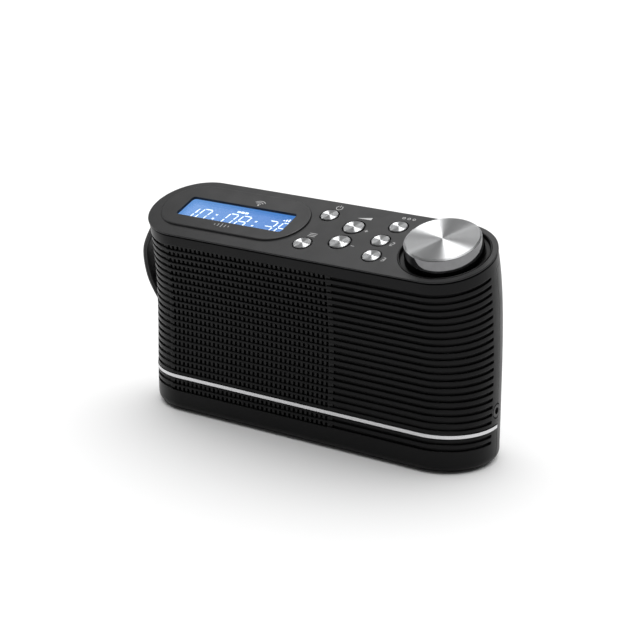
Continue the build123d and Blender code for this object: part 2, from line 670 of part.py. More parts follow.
with BuildPart() as board_screws:
    for x, z in BOARD_SCREWS:
        add(rod(x, z, (FRONT - 1.2, FRONT), 2.2))
        add(rod(x, z, (FRONT - 0.2, 10.4), 1.2))
    under_board = BOARD_TOP - BOARD_THICK
    for height, length, radius in ((under_board, -1.2, 2.2), (under_board - 0.2, 7.6, 1.2)):
        with BuildSketch(TOP.offset(height)):
            with Locations(*POST_PLACES):
                Circle(radius)
        extrude(amount=length)
save(board_screws.part, "board_screws")

with BuildPart() as headphone_socket:
    add(block((88, 100), (JACK_Y - 4.4, MAIN_BOARD_Y), (JACK_Z - 4, JACK_Z + 4)))
    with BuildSketch(jack_hole.offset(9.5)):
        Circle(3.6)
    extrude(amount=3.8)
    fillet(headphone_socket.edges().sort_by(Axis.X)[-1], 0.5)
    with BuildSketch(jack_hole.offset(13.3)):
        Circle(1.8)
    extrude(amount=-JACK_DEPTH, mode=Mode.SUBTRACT)
save(headphone_socket.part, "headphone_socket")

with BuildPart() as dc_socket:
    add(block((DC_X - 6, DC_X + 6), (12, 25.2), (DC_Z - 5.5, DC_Z + 5.5)))
    add(rod(DC_X, DC_Z, (25, 28.3), 4.2))
    add(rod(DC_X, DC_Z, (18, 30), 2.9), mode=Mode.SUBTRACT)
    add(rod(DC_X, DC_Z, (17, 27), 1.0))
save(dc_socket.part, "dc_socket")

# ---- battery bay ----

TRAY_WALL = 1.5
with BuildPart() as battery_box:
    outer_x = (BAY_X[0] - TRAY_WALL, BAY_X[1] + TRAY_WALL)
    outer_z = (BAY_Z[0] - TRAY_WALL, BAY_Z[1] + TRAY_WALL)
    add(block(outer_x, (BAY_FLOOR - TRAY_WALL, 40), outer_z))
    add(case_volume(WALL + 0.05, BASE_Z + WALL, 4.0), mode=Mode.INTERSECT)
    add(block(BAY_X, (BAY_FLOOR, 40), BAY_Z), mode=Mode.SUBTRACT)
    for number in (1, 2, 3):
        z = BAY_Z[0] + CELL_PITCH * number
        add(block(BAY_X, (BAY_FLOOR - 0.1, BAY_FLOOR + 1.5), (z - 0.5, z + 0.5)))
    for x, z in BOARD_SCREWS:
        add(rod(x, z, (BOARD_BACK, BAY_FLOOR - 1), 3.0))
        add(rod(x, z, (BOARD_BACK - 1, BAY_FLOOR - 0.4), 1.25), mode=Mode.SUBTRACT)
save(battery_box.part, "battery_box")

CELLS = [BAY_Z[0] + CELL_PITCH * (number + 0.5) for number in range(4)]
CELL_Y = BAY_FLOOR + 7.6
PLATE = 0.4
with BuildPart() as battery_plates:
    for z in CELLS:
        add(block((BAY_X[0] + 0.02, BAY_X[0] + PLATE), (CELL_Y - 5.5, CELL_Y + 5.5), (z - 5.5, z + 5.5)))
        add(block((BAY_X[1] - PLATE, BAY_X[1] - 0.02), (CELL_Y - 5.5, CELL_Y + 5.5), (z - 5.5, z + 5.5)))
save(battery_plates.part, "battery_plates")
with BuildPart() as battery_springs:
    for number, z in enumerate(CELLS):
        start = BAY_X[0] + PLATE if number % 2 == 0 else BAY_X[1] - PLATE
        inward = 1 if number % 2 == 0 else -1
        with BuildSketch(Plane(origin=(start, CELL_Y, z), z_dir=(inward, 0, 0))):
            Circle(4.6)
        with BuildSketch(Plane(origin=(start + 4.6 * inward, CELL_Y, z), z_dir=(inward, 0, 0))):
            Circle(3.0)
        loft()
save(battery_springs.part, "battery_springs")

with BuildPart() as battery_door:
    door_x = (BAY_X[0] + DOOR_GAP, BAY_X[1] - DOOR_GAP)
    add(case_volume(0, BASE_Z))
    add(case_volume(DOOR_THICK, BASE_Z + DOOR_THICK), mode=Mode.SUBTRACT)
    add(block(door_x, (15, 40), (hinge_z, BAY_Z[1] - DOOR_GAP)), mode=Mode.INTERSECT)
    bead = Plane(origin=(door_x[0], hinge_y, hinge_z), z_dir=(1, 0, 0))
    with BuildSketch(bead):
        Circle(DOOR_BEAD)
    extrude(amount=door_x[1] - door_x[0])
    with BuildSketch(bead.offset(-1.3)):
        Circle(0.6)
    extrude(amount=door_x[1] - door_x[0] + 2.6)
    finger = Plane(origin=(sum(BAY_X) / 2, 28.6, BAY_Z[1] - 8), z_dir=(1, 0, 0)).offset(-9)
    with BuildSketch(finger):
        Ellipse(1.6, 4)
    extrude(amount=18, mode=Mode.SUBTRACT)
save(battery_door.part, "battery_door")

# ---- aerial ----

swing_pin = Plane((AERIAL_X, AERIAL_Y, AERIAL_Z))
with BuildPart() as aerial_swivel:
    add(rod(AERIAL_X, AERIAL_Z, (21.9, 22.5), 4.5))
    add(rod(AERIAL_X, AERIAL_Z, (12.3, 22.0), 2.0))
    add(rod(AERIAL_X, AERIAL_Z, (12.0, 13.3), 3.2))
    for height in (1.6, -2.8):
        with BuildSketch(swing_pin.offset(height)):
            Circle(3.2)
            with Locations((0, -1.6)):
                Rectangle(6.4, 3.2)
        extrude(amount=1.2)
    with BuildSketch(swing_pin.offset(-3.1)):
        Circle(0.95)
    extrude(amount=6.2)
save(aerial_swivel.part, "aerial_swivel")

with BuildPart() as aerial_mount:
    add(rod(AERIAL_X, AERIAL_Z, (13.4, 14.9), 5.0))
    add(block((78, AERIAL_X), (13.4, 14.0), (AERIAL_Z - 1.5, AERIAL_Z + 1.5)))
    add(rod(AERIAL_X, AERIAL_Z, (10, 16), 2.1), mode=Mode.SUBTRACT)
save(aerial_mount.part, "aerial_mount")


def aerial_bar(start, length, radius):
    """A round bar along the folded aerial, from x = start towards -X."""
    with BuildPart() as bar:
        with BuildSketch(Plane(origin=(start, AERIAL_Y, AERIAL_Z), z_dir=(-1, 0, 0))):
            Circle(radius)
        extrude(amount=length)
    return bar.part


TUBE_STARTS = (82.0, 79.0, 76.5, 74.0)
TUBE_ENDS = (-66.0, -67.5, -69.0, -70.5)
TUBE_NAMES = ("aerial_tube_one", "aerial_tube_two", "aerial_tube_three", "aerial_tube_four")
PLUG = 1.6  # each tube is closed over this length at its inner end
for name, start, end, radius in zip(TUBE_NAMES, TUBE_STARTS, TUBE_ENDS, TUBE_RADII):
    with BuildPart() as tube:
        add(aerial_bar(start, start - end, radius))
        chamfer(tube.edges().sort_by(Axis.X)[0], 0.15)
        add(aerial_bar(start - PLUG, start - PLUG - end + 1, radius - TUBE_WALL), mode=Mode.SUBTRACT)
        if name == TUBE_NAMES[0]:
            tongue = ((AERIAL_Y - 1.5, AERIAL_Y + 1.5), (AERIAL_Z - 1.5, AERIAL_Z + 1.5))
            add(block((start - 1, AERIAL_X), *tongue))
            with BuildSketch(swing_pin.offset(-1.5)):
                Circle(2.6)
            extrude(amount=3.0)
            with BuildSketch(swing_pin.offset(-2)):
                Circle(1.0)
            extrude(amount=4, mode=Mode.SUBTRACT)
    save(tube.part, name)

TIP_FACE = -72.0
with BuildPart() as aerial_tip:
    add(aerial_bar(TIP_FACE, 5.0, 3.0))
    fillet(aerial_tip.edges().filter_by(GeomType.CIRCLE), 0.8)
    add(aerial_bar(71.5, 71.5 - TIP_FACE + 1, 1.0))
save(aerial_tip.part, "aerial_tip")

# ---- strap, base ring, screws and wires ----

STRAP_ENDS = ((-93.5, 103.5), (-93.5, 45.0))
STRAP_ROUTE = (
    STRAP_ENDS[0], (-98.6, 102.6), (-103.4, 98.9), (-110.2, 86.8), (-111.7, 78.5),
    (-109.5, 67.3), (-104.5, 58.0), (-98.6, 50.6), STRAP_ENDS[1],
)
strap_plane = Plane.XZ.offset(-strap_y[1])
with BuildPart() as strap:
    with BuildSketch(strap_plane):
        with BuildLine():
            Spline(*STRAP_ROUTE)
        trace(line_width=STRAP_THICK)
        with Locations(*STRAP_ENDS):
            Circle(2.6)
            Circle(1.6, mode=Mode.SUBTRACT)
    extrude(amount=STRAP_WIDTH)
save(strap.part, "strap")
with BuildPart() as strap_anchors:
    for x, z in STRAP_ENDS:
        add(rod(x, z, (strap_y[0] - 2, strap_y[1] + 2), 1.5))
save(strap_anchors.part, "strap_anchors")

with BuildPart() as base_ring:
    with BuildSketch(Plane.XY):
        SlotCenterToCenter(2 * UPPER_HALF, 2 * BASE_RING[0])
        SlotCenterToCenter(2 * UPPER_HALF, 2 * BASE_RING[1], mode=Mode.SUBTRACT)
    extrude(amount=1.15)
    fillet(base_ring.faces().sort_by(Axis.Z)[0].edges(), 0.3)
save(base_ring.part, "base_ring")

with BuildPart() as rear_screws:
    for x, z in POSTS:
        add(rod(x, z, (9, 11.2), 2.8))
        add(rod(x, z, (-6, 9.1), 1.45))
        add(block((x - 2.2, x + 2.2), (10.2, 12), (z - 0.45, z + 0.45)), mode=Mode.SUBTRACT)
        add(block((x - 0.45, x + 0.45), (10.2, 12), (z - 2.2, z + 2.2)), mode=Mode.SUBTRACT)
save(rear_screws.part, "rear_screws")


def lead(points, radii, diameter=1.3):
    """One insulated lead: straight runs joined by arcs, swept with a round section."""
    with BuildPart() as wire:
        with BuildLine():
            route = FilletPolyline(*points, radius=radii)
        with BuildSketch(Plane(origin=route @ 0, z_dir=route % 0)):
            Circle(diameter / 2)
        sweep()
    return wire.part


with BuildPart() as internal_wires:
    for z in (52.4, 55.6):
        add(lead([(-1.6, -12, z), (5, -12, z), (6.5, 3.5, z), (12.9, 3.5, z)], [3, 3]))
    for shift in (0, 2.2):
        across = 78.5 - shift
        battery = [(72.6, 14, 28 + shift), (across, 14, 28 + shift), (across, 9.2, 38), (across, 9.2, 45.9)]
        add(lead(battery, [3, 3]))
    for z in (14.4, 16.2):
        supply = [(-53.5, 16, z + 4), (-44, 16, z), (-12, 10, z), (3, 3.5, z), (12.9, 3.5, z)]
        add(lead(supply, [6, 6, 6]))
    add(lead([(79.5, 12.9, 102), (79.5, 9.5, 96), (72, 8.8, 90), (68, 8.6, 81.5)], [3, 3]))
save(internal_wires.part, "internal_wires")
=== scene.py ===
import json
import math

import bmesh
import bpy
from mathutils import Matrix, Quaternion, Vector

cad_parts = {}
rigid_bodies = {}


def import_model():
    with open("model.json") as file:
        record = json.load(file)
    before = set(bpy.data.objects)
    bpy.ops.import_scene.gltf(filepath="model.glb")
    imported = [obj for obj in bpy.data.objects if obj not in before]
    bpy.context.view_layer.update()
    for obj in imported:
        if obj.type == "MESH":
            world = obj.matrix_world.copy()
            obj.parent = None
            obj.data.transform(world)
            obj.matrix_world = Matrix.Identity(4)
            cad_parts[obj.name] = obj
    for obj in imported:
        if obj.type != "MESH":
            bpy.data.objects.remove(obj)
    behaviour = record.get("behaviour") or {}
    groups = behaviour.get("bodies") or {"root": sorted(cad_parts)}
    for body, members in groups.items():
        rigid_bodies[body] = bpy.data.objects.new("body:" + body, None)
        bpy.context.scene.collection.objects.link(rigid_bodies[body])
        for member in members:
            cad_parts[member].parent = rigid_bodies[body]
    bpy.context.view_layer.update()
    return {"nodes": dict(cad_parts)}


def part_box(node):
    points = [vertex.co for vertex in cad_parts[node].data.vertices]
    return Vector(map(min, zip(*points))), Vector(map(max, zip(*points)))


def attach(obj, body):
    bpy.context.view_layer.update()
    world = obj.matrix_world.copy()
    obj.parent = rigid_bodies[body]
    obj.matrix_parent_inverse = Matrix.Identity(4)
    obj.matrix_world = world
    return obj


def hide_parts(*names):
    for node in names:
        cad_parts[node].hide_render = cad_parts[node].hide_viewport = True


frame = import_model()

# A tabletop radio on a pale studio floor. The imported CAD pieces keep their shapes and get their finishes
# here. The display's figures, the printed marks, the strap and the battery springs are made here.
# Places on the sloping top are in millimetres in its own plane: x to the right, u towards the back.

MM = 0.001
TILT = math.radians(18.4)  # slope of the top
RIGHT = Vector((1, 0, 0))
BACK = Vector((0, math.cos(TILT), math.sin(TILT)))
OUT = Vector((0, -math.sin(TILT), math.cos(TILT)))
ROTOR_DEPTH = 7.45 * MM  # middle of the encoder's rotor, under the top plane
SPUN_PIECES = (
    "knob_cap", "power_button", "menu_button", "volume_up_button", "volume_down_button",
    "preset_one_button", "preset_two_button", "preset_three_button",
)


def middle(node):
    """The middle of a CAD node's box."""
    low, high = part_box(node)
    return (low + high) / 2


top_origin = middle("encoder_rotor") + OUT * ROTOR_DEPTH
top_origin.x = 0


def on_top(x, u, height):
    """A point of the sloping top, in mm: x along it, u towards the back, height above its plane."""
    return top_origin + MM * (x * RIGHT + u * BACK + height * OUT)


def axis_on_top(node):
    """(x, u) of a round CAD piece's axis on the top, in mm, from the reach of its vertices."""
    offsets = [vertex.co - top_origin for vertex in frame["nodes"][node].data.vertices]
    along = [offset.dot(RIGHT) for offset in offsets]
    deep = [offset.dot(BACK) for offset in offsets]
    return (min(along) + max(along)) / 2 / MM, (min(deep) + max(deep)) / 2 / MM


# ---- materials ----


def add_node(tree, kind, settings=None, inputs=None):
    """A shader node with its settings, and its inputs as numbers or as links from other sockets."""
    made = tree.nodes.new("ShaderNode" + kind)
    for key, value in (settings or {}).items():
        setattr(made, key, value)
    for key, value in (inputs or {}).items():
        if isinstance(value, bpy.types.NodeSocket):
            tree.links.new(value, made.inputs[key])
        else:
            made.inputs[key].default_value = value
    return made


def start_material(name, **sockets):
    """A material with one Principled shader, the sockets given set on it: (material, tree, shader)."""
    made = bpy.data.materials.new(name)
    made.use_nodes = True
    tree = made.node_tree
    tree.nodes.clear()
    shader = add_node(tree, "BsdfPrincipled")
    for key, value in sockets.items():
        shader.inputs[key.replace("_", " ")].default_value = value
    add_node(tree, "OutputMaterial", inputs={"Surface": shader.outputs["BSDF"]})
    return made, tree, shader


def own_coordinates(tree):
    """The point on the piece, in its own rest frame, in metres."""
    return add_node(tree, "TexCoord").outputs["Object"]


def noise(tree, vector, size, detail=3.0, roughness=0.5):
    """Noise whose blobs are about size across, in metres, from 0 to 1."""
    inputs = {"Vector": vector, "Scale": 1 / size, "Detail": detail, "Roughness": roughness}
    return add_node(tree, "TexNoise", inputs=inputs).outputs["Fac"]


def spread(tree, value, low, high, start=0.3, end=0.7):
    """The value from start to end, mapped onto low to high."""
    inputs = {"Value": value, "From Min": start, "From Max": end, "To Min": low, "To Max": high}
    return add_node(tree, "MapRange", inputs=inputs).outputs["Result"]


def blend_colours(tree, share, first, second):
    """First colour where share is 0, second where it is 1."""
    mixer = add_node(tree, "Mix", {"data_type": "RGBA"})
    tree.links.new(share, mixer.inputs["Factor"])
    mixer.inputs[6].default_value = (*first, 1)
    mixer.inputs[7].default_value = (*second, 1)
    return mixer.outputs[2]


def set_relief(tree, shader, height, depth, strength=1.0):
    """Bump of the given depth, in metres, from a height of 0 to 1."""
    inputs = {"Height": height, "Distance": depth, "Strength": strength}
    tree.links.new(add_node(tree, "Bump", inputs=inputs).outputs["Normal"], shader.inputs["Normal"])


def lighter(colour, factor):
    """The colour with every channel multiplied."""
    return tuple(min(1.0, channel * factor) for channel in colour)


def moulded(name, colour, roughness, grain=0.35 * MM, depth=0.006 * MM, worn_edge=0, **sockets):
    """Moulded plastic or rubber: fine spark-eroded grain, slow changes of tone and gloss, softened edges."""
    made, tree, shader = start_material(name, **sockets)
    place = own_coordinates(tree)
    drift = noise(tree, place, 28 * MM)
    speckle = noise(tree, place, grain, 4.0, 0.6)
    tone = blend_colours(tree, spread(tree, drift, 0, 1), lighter(colour, 0.9), lighter(colour, 1.12))
    tree.links.new(tone, shader.inputs["Base Color"])
    gloss = spread(tree, noise(tree, place, 9 * MM), roughness - 0.035, roughness + 0.035)
    tree.links.new(gloss, shader.inputs["Roughness"])
    set_relief(tree, shader, speckle, depth)
    if worn_edge:
        rounded = add_node(tree, "Bevel", {"samples": 6}, {"Radius": worn_edge}).outputs["Normal"]
        relief = shader.inputs["Normal"].links[0].from_node
        tree.links.new(rounded, relief.inputs["Normal"])
    return made


def metal(name, colour, roughness, streak=(1, 1, 1), grain=0.4 * MM, depth=0.002 * MM, **sockets):
    """Bare or plated metal: its polish is streaked along the axis whose streak number is smallest."""
    made, tree, shader = start_material(name, Metallic=1.0, **sockets)
    stretched = add_node(tree, "Mapping", inputs={"Vector": own_coordinates(tree), "Scale": streak})
    lines = noise(tree, stretched.outputs["Vector"], grain, 5.0, 0.6)
    tone = blend_colours(tree, spread(tree, lines, 0, 1), lighter(colour, 0.9), lighter(colour, 1.06))
    tree.links.new(tone, shader.inputs["Base Color"])
    tree.links.new(spread(tree, lines, roughness * 0.75, roughness * 1.3), shader.inputs["Roughness"])
    set_relief(tree, shader, lines, depth)
    return made


def spun(name, node):
    """Aluminium faced on a lathe: fine rings round the piece's axis, and gloss drawn out along its radii."""
    made, tree, shader = start_material(name, Metallic=1.0, Anisotropic=1.0)
    centre = on_top(*axis_on_top(node), 0)
    offset = add_node(tree, "VectorMath", {"operation": "SUBTRACT"}, {0: own_coordinates(tree), 1: centre})
    across = add_node(tree, "VectorMath", {"operation": "PROJECT"}, {0: offset.outputs[0], 1: OUT})
    radial = add_node(
        tree, "VectorMath", {"operation": "SUBTRACT"}, {0: offset.outputs[0], 1: across.outputs[0]}
    ).outputs[0]
    radius = add_node(tree, "VectorMath", {"operation": "LENGTH"}, {0: radial}).outputs["Value"]
    turning = {"vector_type": "VECTOR", "convert_from": "OBJECT", "convert_to": "WORLD"}
    outward = add_node(tree, "VectorTransform", turning, {"Vector": radial})
    tree.links.new(outward.outputs["Vector"], shader.inputs["Tangent"])
    rings = add_node(
        tree, "TexNoise", {"noise_dimensions": "1D"}, {"W": radius, "Scale": 1 / (0.16 * MM), "Detail": 4.0}
    ).outputs["Fac"]
    tone = blend_colours(tree, spread(tree, rings, 0, 1), (0.44, 0.445, 0.45), (0.56, 0.565, 0.57))
    tree.links.new(tone, shader.inputs["Base Color"])
    tree.links.new(spread(tree, rings, 0.4, 0.5), shader.inputs["Roughness"])
    set_relief(tree, shader, rings, 0.0008 * MM)
    return made


def woven(name, colour, pitch):
    """Plain black cloth: threads over and under each other at the given pitch."""
    made, tree, shader = start_material(name, Roughness=0.85, Sheen_Weight=0.3)
    place = own_coordinates(tree)
    waves = []
    for direction in ("X", "Z"):
        settings = {"wave_type": "BANDS", "bands_direction": direction}
        inputs = {"Vector": place, "Scale": 0.314 / pitch, "Distortion": 0.4}
        waves.append(add_node(tree, "TexWave", settings, inputs).outputs["Fac"])
    weave = add_node(tree, "Math", {"operation": "MULTIPLY"}, {0: waves[0], 1: waves[1]}).outputs[0]
    tone = blend_colours(tree, weave, lighter(colour, 0.5), lighter(colour, 1.6))
    tree.links.new(tone, shader.inputs["Base Color"])
    set_relief(tree, shader, weave, 0.1 * MM)
    return made


def clear_window(name):
    """The display's clear cover, with the faint haze of a moulded sheet."""
    sockets = {"Transmission_Weight": 1.0, "IOR": 1.12, "Specular_IOR_Level": 0.1}
    made, tree, shader = start_material(name, Base_Color=(0.97, 0.98, 1.0, 1), **sockets)
    haze = noise(tree, own_coordinates(tree), 6 * MM, 4.0)
    tree.links.new(spread(tree, haze, 0.01, 0.05), shader.inputs["Roughness"])
    set_relief(tree, shader, haze, 0.001 * MM)
    return made


def lit_panel(name, near, far, strength):
    """The backlit display: brighter at its left end, with the faint dots of its matrix."""
    sockets = {"Roughness": 0.35, "Specular_IOR_Level": 0.1, "Emission_Strength": strength}
    made, tree, shader = start_material(name, **sockets)
    shader.inputs["Base Color"].default_value = (0.004, 0.01, 0.03, 1)
    low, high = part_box("lcd_display")
    place = own_coordinates(tree)
    across = add_node(tree, "SeparateXYZ", inputs={"Vector": place}).outputs["X"]
    fade = spread(tree, across, 0, 1, low.x, high.x)
    uneven = spread(tree, noise(tree, place, 14 * MM), -0.12, 0.12)
    share = add_node(tree, "Math", {"operation": "ADD", "use_clamp": True}, {0: fade, 1: uneven}).outputs[0]
    glow = blend_colours(tree, share, near, far)
    tree.links.new(glow, shader.inputs["Emission Color"])
    return made


def board_mask(name):
    """Solder mask over copper: straight tracks show as a lighter green."""
    made, tree, shader = start_material(name, Roughness=0.3)
    place = own_coordinates(tree)
    inputs = {"Vector": place, "Scale": 260.0, "Randomness": 0.35}
    settings = {"feature": "F1", "distance": "CHEBYCHEV"}
    cells = add_node(tree, "TexVoronoi", settings, inputs).outputs["Distance"]
    tracks = spread(tree, cells, 0, 1, 0.36, 0.42)
    tone = blend_colours(tree, tracks, (0.004, 0.05, 0.018), (0.012, 0.12, 0.045))
    tree.links.new(tone, shader.inputs["Base Color"])
    set_relief(tree, shader, tracks, 0.03 * MM)
    return made


def printed(name, colour):
    """Pad-printed ink, slightly uneven."""
    made, tree, shader = start_material(name, Roughness=0.55)
    patch = spread(tree, noise(tree, own_coordinates(tree), 0.3 * MM), 0, 1)
    tree.links.new(blend_colours(tree, patch, lighter(colour, 0.82), colour), shader.inputs["Base Color"])
    return made


def backdrop(name, colour):
    """Matt card: an even pale tone with a fine fibre grain."""
    made, tree, shader = start_material(name, Roughness=0.8, Specular_IOR_Level=0.2)
    fibres = noise(tree, own_coordinates(tree), 0.6 * MM, 4.0, 0.6)
    tone = blend_colours(tree, spread(tree, fibres, 0, 1), lighter(colour, 0.985), lighter(colour, 1.015))
    tree.links.new(tone, shader.inputs["Base Color"])
    set_relief(tree, shader, fibres, 0.01 * MM, 0.4)
    return made


def glowing_ink(name, colour, strength):
    """The display's lit segments."""
    made, tree, shader = start_material(name, Roughness=0.4, Emission_Strength=strength)
    patch = spread(tree, noise(tree, own_coordinates(tree), 2 * MM), 0, 1)
    tone = blend_colours(tree, patch, lighter(colour, 0.93), colour)
    tree.links.new(tone, shader.inputs["Base Color"])
    tree.links.new(tone, shader.inputs["Emission Color"])
    return made


CASE_BLACK = (0.0045, 0.0045, 0.0048)
PANEL_BLACK = (0.016, 0.016, 0.0165)
ROUNDED = 0.7 * MM  # radius that the case's edges look to have

# one finish for each material slot of the CAD pieces
finishes = {
    "case_plastic": moulded("case_plastic", CASE_BLACK, 0.34, worn_edge=ROUNDED, Specular_IOR_Level=0.13),
    "panel_plastic": moulded("panel_plastic", PANEL_BLACK, 0.42, Specular_IOR_Level=0.34),
    "grille_plastic": moulded("grille_plastic", CASE_BLACK, 0.4, Specular_IOR_Level=0.2),
    "bezel_plastic": moulded("bezel_plastic", PANEL_BLACK, 0.4, Specular_IOR_Level=0.34),
    "inner_plastic": moulded("inner_plastic", (0.02, 0.02, 0.021), 0.5),
    "gloss_black": moulded("gloss_black", (0.004, 0.004, 0.004), 0.3, Specular_IOR_Level=0.15),
    "dark_chrome": metal("dark_chrome", (0.2, 0.2, 0.205), 0.06, (1, 1, 1), 3 * MM, 0.0003 * MM),
    "bright_trim": metal("bright_trim", (0.62, 0.62, 0.63), 0.24, (0.02, 1, 1)),
    "speaker_cloth": woven("speaker_cloth", (0.006, 0.006, 0.006), 0.5 * MM),
    "window_clear": clear_window("window_clear"),
    "display_lit": lit_panel("display_lit", (0.16, 0.36, 0.76), (0.06, 0.22, 0.62), 0.95),
    "backlight_guide": moulded("backlight_guide", (0.8, 0.85, 0.9), 0.3, Transmission_Weight=0.3),
    "circuit_board": board_mask("circuit_board"),
    "component_black": moulded("component_black", (0.012, 0.012, 0.013), 0.45, 0.2 * MM),
    "connector_white": moulded("connector_white", (0.62, 0.6, 0.54), 0.45),
    "steel": metal("steel", (0.6, 0.59, 0.57), 0.3, (1, 1, 1)),
    "magnet_steel": metal("magnet_steel", (0.42, 0.42, 0.41), 0.38, (1, 1, 1)),
    "bright_chrome": metal("bright_chrome", (0.78, 0.78, 0.79), 0.1, (0.03, 1, 1)),
    "cone_paper": moulded("cone_paper", (0.02, 0.02, 0.019), 0.8, 0.8 * MM, 0.05 * MM),
    "black_rubber": moulded("black_rubber", (0.01, 0.01, 0.01), 0.7, 0.5 * MM, 0.01 * MM),
    "foam_black": moulded("foam_black", (0.008, 0.008, 0.008), 0.95, 0.9 * MM, 0.2 * MM),
    "cable_plastic": moulded("cable_plastic", (0.3, 0.02, 0.015), 0.4),
    "strap_rubber": moulded("strap_rubber", (0.012, 0.012, 0.0125), 0.48, 0.4 * MM, 0.008 * MM),
}

for node_name, cad_node in frame["nodes"].items():
    for holder in cad_node.material_slots:
        if node_name in SPUN_PIECES:
            holder.material = spun("spun_" + node_name, node_name)
        else:
            holder.material = finishes[holder.material.name.split(".")[0]]

# and two for pieces made here
finishes["mark_ink"] = printed("mark_ink", (0.55, 0.55, 0.55))
finishes["segment_light"] = glowing_ink("segment_light", (0.86, 0.95, 1.0), 0.95)


# ---- pieces made here ----


def make_piece(name, mesh_builder, finish, body="radio", smooth=False):
    """A piece from a bmesh, with its finish, riding on a body."""
    mesh = bpy.data.meshes.new(name)
    bmesh.ops.recalc_face_normals(mesh_builder, faces=mesh_builder.faces)
    mesh_builder.to_mesh(mesh)
    mesh_builder.free()
    for face in mesh.polygons:
        face.use_smooth = smooth
    mesh.materials.append(finishes[finish])
    piece = bpy.data.objects.new(name, mesh)
    bpy.context.scene.collection.objects.link(piece)
    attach(piece, body)
    return piece


def add_plate(builder, outline, low, high):
    """A thin closed plate on the top: outline is (x, u) points in mm, between two heights."""
    floor_ring = [builder.verts.new(on_top(x, u, low)) for x, u in outline]
    roof_ring = [builder.verts.new(on_top(x, u, high)) for x, u in outline]
    builder.faces.new(floor_ring)
    builder.faces.new(roof_ring)
    count = len(outline)
    for i in range(count):
        j = (i + 1) % count
        builder.faces.new((floor_ring[i], floor_ring[j], roof_ring[j], roof_ring[i]))


def skin(builder, loops):
    """A closed skin over a row of loops of vertices."""
    count = len(loops[0])
    for first, second in zip(loops, loops[1:]):
        for i in range(count):
            j = (i + 1) % count
            builder.faces.new((first[i], first[j], second[j], second[i]))
    builder.faces.new(loops[0])
    builder.faces.new(loops[-1])


def heading(path, index):
    """The direction of a path of points at one of them."""
    return (path[min(index + 1, len(path) - 1)] - path[max(index - 1, 0)]).normalized()


def bar(start, end, width):
    """Outline of a straight stroke with pointed ends."""
    (x0, u0), (x1, u1) = start, end
    length = math.hypot(x1 - x0, u1 - u0)
    dx, du = (x1 - x0) / length, (u1 - u0) / length
    half = width / 2
    corners = [(0, 0), (half, half), (length - half, half)]
    corners += [(length, 0), (length - half, -half), (half, -half)]
    return [(x0 + along * dx - aside * du, u0 + along * du + aside * dx) for along, aside in corners]


def arc_band(centre, radius, width, start, end, steps=14):
    """Outline of a bent stroke round a centre, between two angles in degrees."""
    angles = [math.radians(start + (end - start) * i / steps) for i in range(steps + 1)]
    edge = [(radius + width / 2, angle) for angle in angles]
    edge += [(radius - width / 2, angle) for angle in reversed(angles)]
    return [(centre[0] + r * math.cos(angle), centre[1] + r * math.sin(angle)) for r, angle in edge]


# the seven strokes of a figure, as pairs of corners on a grid one wide and two high
STROKES = {
    "a": ((0, 2), (1, 2)), "b": ((1, 2), (1, 1)), "c": ((1, 1), (1, 0)), "d": ((0, 0), (1, 0)),
    "e": ((0, 1), (0, 0)), "f": ((0, 2), (0, 1)), "g": ((0, 1), (1, 1)),
}
FIGURES = {
    "0": "abcdef", "1": "bc", "2": "abged", "3": "abgcd", "4": "fgbc",
    "5": "afgcd", "6": "afgedc", "7": "abc", "8": "abcdefg", "9": "abcdfg",
}


def figure_strokes(value, left, foot, width, height, lean, gap):
    """(start, end) of each lit stroke of one figure, in mm on the top, leaning to the right."""
    lines = []
    for key in FIGURES[value]:
        (x0, y0), (x1, y1) = STROKES[key]
        ends = []
        for x, y, towards_x, towards_y in ((x0, y0, x1, y1), (x1, y1, x0, y0)):
            px, py = x * width, y * height / 2
            reach = math.hypot((towards_x - x) * width, (towards_y - y) * height / 2)
            px += (towards_x - x) * width * gap / reach
            py += (towards_y - y) * height / 2 * gap / reach
            ends.append((left + px + py * lean, foot + py))
        lines.append(tuple(ends))
    return lines


# the display: a clock, with signal bars and a row of short bars above it
DISPLAY_TOP = -2.35  # face of the display, under the top plane
INK = 0.03  # thickness of printed and lit shapes
LIT_LEVEL = DISPLAY_TOP + 0.01
WINDOW_RIM = 1.6  # the clear sheet reaches this far under its surround
CLOCK = "10:08:36"
FIGURE_INSET = 1.1  # of each figure, in its share of the window's width
FIGURE_FOOT = -7.4
FIGURE_WIDTH, FIGURE_HEIGHT = 5.4, 10.4
FIGURE_LEAN = 0.14
FIGURE_LINE = 0.7
FIGURE_GAP = 0.35  # between the ends of two strokes and their corner
COLON_FEET = (-4.6, -0.6)
COLON_LEFT, COLON_SIZE, COLON_LEAN = 2.0, (1.2, 1.1), 0.2

display_x = middle("lcd_display").x / MM
window_low, window_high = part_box("lcd_window")
window_left = window_low.x / MM + WINDOW_RIM
window_width = (window_high.x - window_low.x) / MM - 2 * WINDOW_RIM


def add_block(builder, left, foot, width, height, lean=0.0):
    """One lit block of the display, from its lower left corner."""
    right, head = left + width, foot + height
    outline = [(left, foot), (right, foot), (right + lean, head), (left + lean, head)]
    add_plate(builder, outline, LIT_LEVEL, LIT_LEVEL + INK)


pitch = window_width / len(CLOCK)
digits = bmesh.new()
for place, sign in enumerate(CLOCK):
    left = window_left + pitch * place + FIGURE_INSET
    if sign == ":":
        for foot in COLON_FEET:
            add_block(digits, left + COLON_LEFT, foot, *COLON_SIZE, COLON_LEAN)
    else:
        size = (FIGURE_WIDTH, FIGURE_HEIGHT, FIGURE_LEAN, FIGURE_GAP)
        for start, end in figure_strokes(sign, left, FIGURE_FOOT, *size):
            add_plate(digits, bar(start, end, FIGURE_LINE), LIT_LEVEL, LIT_LEVEL + INK)
make_piece("display_figures", digits, "segment_light")

